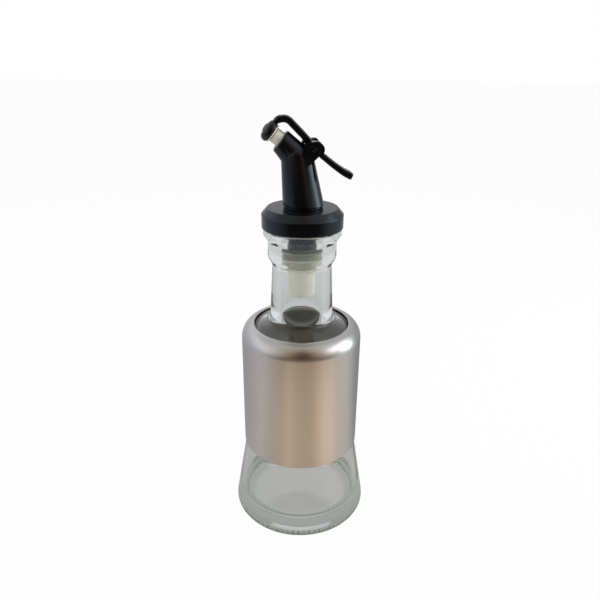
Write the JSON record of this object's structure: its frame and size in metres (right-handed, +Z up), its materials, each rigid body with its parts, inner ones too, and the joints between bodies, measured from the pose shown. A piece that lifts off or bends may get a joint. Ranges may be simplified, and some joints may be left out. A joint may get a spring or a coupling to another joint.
{
  "type": "lemon juice bottle",
  "caption": "Glass juice bottle with a steel sleeve and a push-in pourer whose sprung lever lifts the lid off a slanted nozzle.",
  "frame": {"origin": "centre of the bottle's foot, on the surface that it stands on", "axes": "+Z up along the bottle's axis, the nozzle points to -X, the lever's tail to +X, and the lever's pin lies along Y"},
  "size_m": [0.075, 0.075, 0.2212],
  "materials": {
    "clear_glass": "clear, faintly green, smooth",
    "brushed_steel": "brushed round the bottle",
    "black_plastic": "glossy black with soft bluish reflections",
    "cream_silicone": "cream, slightly translucent, satin",
    "pin_plastic": "black, flush with the ears",
    "spring_steel": "bright spring wire"
  },
  "bodies": {
    "bottle": {"glass_bottle": "clear_glass", "steel_sleeve": "brushed_steel"},
    "stopper": {"ribbed_stopper": "cream_silicone"},
    "pourer": {"cap_flange": "black_plastic", "spout_stem": "black_plastic", "pour_tube": "cream_silicone", "pivot_pin": "pin_plastic", "return_spring": "spring_steel"},
    "lever": {"lever": "black_plastic", "lid": "black_plastic", "lid_seal": "cream_silicone"}
  },
  "joints": [
    {"name": "pourer_lift", "type": "slide", "parent": "bottle", "child": "stopper", "axis": [0, 0, 1], "range_m": [0, 0.045]},
    {"name": "pourer_turn", "type": "hinge", "parent": "stopper", "child": "pourer", "pos_m": [0, 0, 0.1675], "axis": [0, 0, 1], "continuous": true},
    {"name": "lever_press", "type": "hinge", "parent": "pourer", "child": "lever", "pos_m": [0.005, 0, 0.2063], "axis": [0, 1, 0], "range_deg": [0, 25], "stiffness_Nm_per_rad": 0.05, "springref_deg": -11.46, "deforming": ["return_spring"]}
  ]
}
